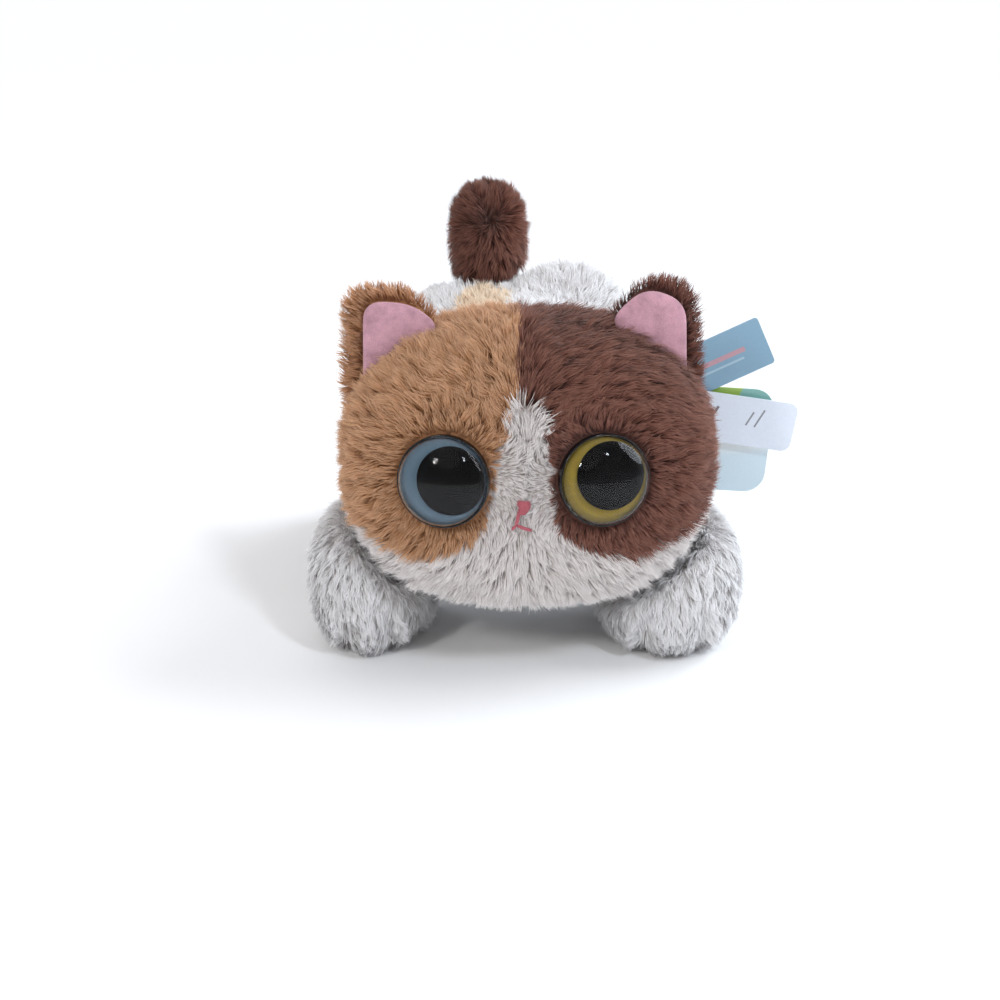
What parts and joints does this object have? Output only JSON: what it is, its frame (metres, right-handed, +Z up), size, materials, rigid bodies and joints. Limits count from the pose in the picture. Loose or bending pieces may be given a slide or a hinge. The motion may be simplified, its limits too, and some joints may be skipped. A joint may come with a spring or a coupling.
{
  "type": "interactive plush kitten",
  "caption": "Walking plush kitten with swinging legs, nodding head, wagging tail and hang tags over a geared, battery driven walking unit.",
  "frame": {"origin": "bottom centre of the whole object's box, on the floor that the four soles rest on", "axes": "+Z up; the kitten faces -Y; +X is on its right as the front view shows it, where the hang tags are"},
  "size_m": [0.2108, 0.2233, 0.171],
  "materials": {
    "white_fur": "matte",
    "orange_fur": "matte",
    "brown_fur": "matte",
    "pink_velvet": "matte",
    "pink_thread": "satin",
    "black_plastic": "gloss",
    "grey_plastic": "satin",
    "white_plastic": "satin",
    "blue_iris": "gloss",
    "olive_iris": "gloss",
    "clear_lens": "gloss",
    "gear_plastic": "satin",
    "steel": "satin",
    "brass": "satin",
    "cell_wrap": "satin",
    "board_green": "satin",
    "switch_red": "satin",
    "blue_card": "satin",
    "white_card": "satin",
    "pale_card": "satin",
    "clear_string": "gloss"
  },
  "bodies": {
    "body": {"body_plush": "white_fur", "casing_bottom": "grey_plastic", "casing_top": "grey_plastic", "casing_screw_1": "steel", "casing_screw_2": "steel", "battery_cell_1": "cell_wrap", "battery_cell_2": "cell_wrap", "battery_contact": "brass", "circuit_board": "board_green", "speaker": "black_plastic", "power_switch": "black_plastic", "motor": "steel", "reduction_axle": "steel", "front_axle": "steel", "rear_axle": "steel", "neck_pin": "steel"},
    "battery_door": {"battery_door": "grey_plastic", "battery_door_screw": "steel"},
    "switch_knob": {"power_switch_knob": "switch_red"},
    "touch_button": {"touch_button": "switch_red"},
    "motor_pinion": {"motor_pinion": "brass"},
    "reduction_gear": {"reduction_gear": "gear_plastic"},
    "crankshaft": {"drive_gear": "gear_plastic", "crankshaft": "steel", "crank_left": "white_plastic", "crank_right": "white_plastic"},
    "link_left": {"link_left": "white_plastic"},
    "link_right": {"link_right": "white_plastic"},
    "head": {"head_plush": "white_fur", "head_frame": "white_plastic", "left_ear": "orange_fur", "right_ear": "brown_fur", "left_ear_lining": "pink_velvet", "right_ear_lining": "pink_velvet", "nose_and_mouth": "pink_thread", "left_eye_cup": "black_plastic", "left_iris": "blue_iris", "left_pupil": "black_plastic", "left_eye_lens": "clear_lens", "left_eye_washer": "white_plastic", "right_eye_cup": "black_plastic", "right_iris": "olive_iris", "right_pupil": "black_plastic", "right_eye_lens": "clear_lens", "right_eye_washer": "white_plastic"},
    "tail": {"tail_core": "white_plastic", "tail_plush": "brown_fur"},
    "hang_tags": {"blue_tag": "blue_card", "white_tag": "white_card", "pale_tag": "pale_card", "tag_loop": "clear_string"},
    "front_left_leg": {"front_left_leg_core": "white_plastic", "front_left_leg_plush": "white_fur"},
    "front_right_leg": {"front_right_leg_core": "white_plastic", "front_right_leg_plush": "white_fur"},
    "rear_left_leg": {"rear_left_leg_core": "white_plastic", "rear_left_leg_plush": "white_fur"},
    "rear_right_leg": {"rear_right_leg_core": "white_plastic", "rear_right_leg_plush": "white_fur"}
  },
  "joints": [
    {"name": "crank_spin", "type": "hinge", "parent": "body", "child": "crankshaft", "pos_m": [-0.0158, 0.0471, 0.062], "axis": [1, 0, 0], "continuous": true},
    {"name": "reduction_spin", "type": "hinge", "parent": "body", "child": "reduction_gear", "pos_m": [-0.0158, 0.0279, 0.062], "axis": [1, 0, 0], "continuous": true},
    {"name": "pinion_spin", "type": "hinge", "parent": "body", "child": "motor_pinion", "pos_m": [-0.0158, 0.0087, 0.062], "axis": [1, 0, 0], "continuous": true},
    {"name": "front_left_leg_swing", "type": "hinge", "parent": "body", "child": "front_left_leg", "pos_m": [-0.0158, -0.0213, 0.047], "axis": [1, 0, 0], "range_deg": [-6, 6]},
    {"name": "front_right_leg_swing", "type": "hinge", "parent": "body", "child": "front_right_leg", "pos_m": [-0.0158, -0.0213, 0.047], "axis": [1, 0, 0], "range_deg": [-6, 6]},
    {"name": "rear_left_leg_swing", "type": "hinge", "parent": "body", "child": "rear_left_leg", "pos_m": [-0.0158, 0.0747, 0.047], "axis": [1, 0, 0], "range_deg": [-6, 6]},
    {"name": "rear_right_leg_swing", "type": "hinge", "parent": "body", "child": "rear_right_leg", "pos_m": [-0.0158, 0.0747, 0.047], "axis": [1, 0, 0], "range_deg": [-6, 6]},
    {"name": "link_left_turn", "type": "hinge", "parent": "front_left_leg", "child": "link_left", "pos_m": [-0.0158, -0.0213, 0.065], "axis": [1, 0, 0], "range_deg": [-6, 6]},
    {"name": "link_right_turn", "type": "hinge", "parent": "front_right_leg", "child": "link_right", "pos_m": [-0.0158, -0.0213, 0.065], "axis": [1, 0, 0], "range_deg": [-6, 6]},
    {"name": "head_nod", "type": "hinge", "parent": "body", "child": "head", "pos_m": [-0.0158, -0.0243, 0.088], "axis": [1, 0, 0], "range_deg": [-4, 4]},
    {"name": "tail_wag", "type": "hinge", "parent": "body", "child": "tail", "pos_m": [-0.0288, 0.0827, 0.098], "axis": [0, 1, 0], "range_deg": [-12, 12]},
    {"name": "tag_swing", "type": "hinge", "parent": "body", "child": "hang_tags", "pos_m": [0.0342, 0.0096, 0.088], "axis": [0, 1, 0], "range_deg": [-8, 22]},
    {"name": "power_switch_slide", "type": "slide", "parent": "body", "child": "switch_knob", "axis": [0, 1, 0], "range_m": [0, 0.0035]},
    {"name": "touch_press", "type": "slide", "parent": "body", "child": "touch_button", "axis": [0, 0, -1], "range_m": [0, 0.0015], "stiffness_N_per_m": 400, "springref_m": -0.0005},
    {"name": "battery_door_drop", "type": "slide", "parent": "body", "child": "battery_door", "axis": [0, 0, -1], "range_m": [0, 0.018]}
  ],
  "couplings": [
    {"joint": "reduction_spin", "follows": "crank_spin", "ratio": -2.8},
    {"joint": "pinion_spin", "follows": "crank_spin", "ratio": 7.84},
    {"joint": "front_right_leg_swing", "follows": "front_left_leg_swing", "ratio": -1},
    {"joint": "rear_left_leg_swing", "follows": "front_left_leg_swing", "ratio": 1},
    {"joint": "rear_right_leg_swing", "follows": "front_left_leg_swing", "ratio": -1},
    {"joint": "link_left_turn", "follows": "front_left_leg_swing", "ratio": -1},
    {"joint": "link_right_turn", "follows": "front_left_leg_swing", "ratio": 1}
  ]
}
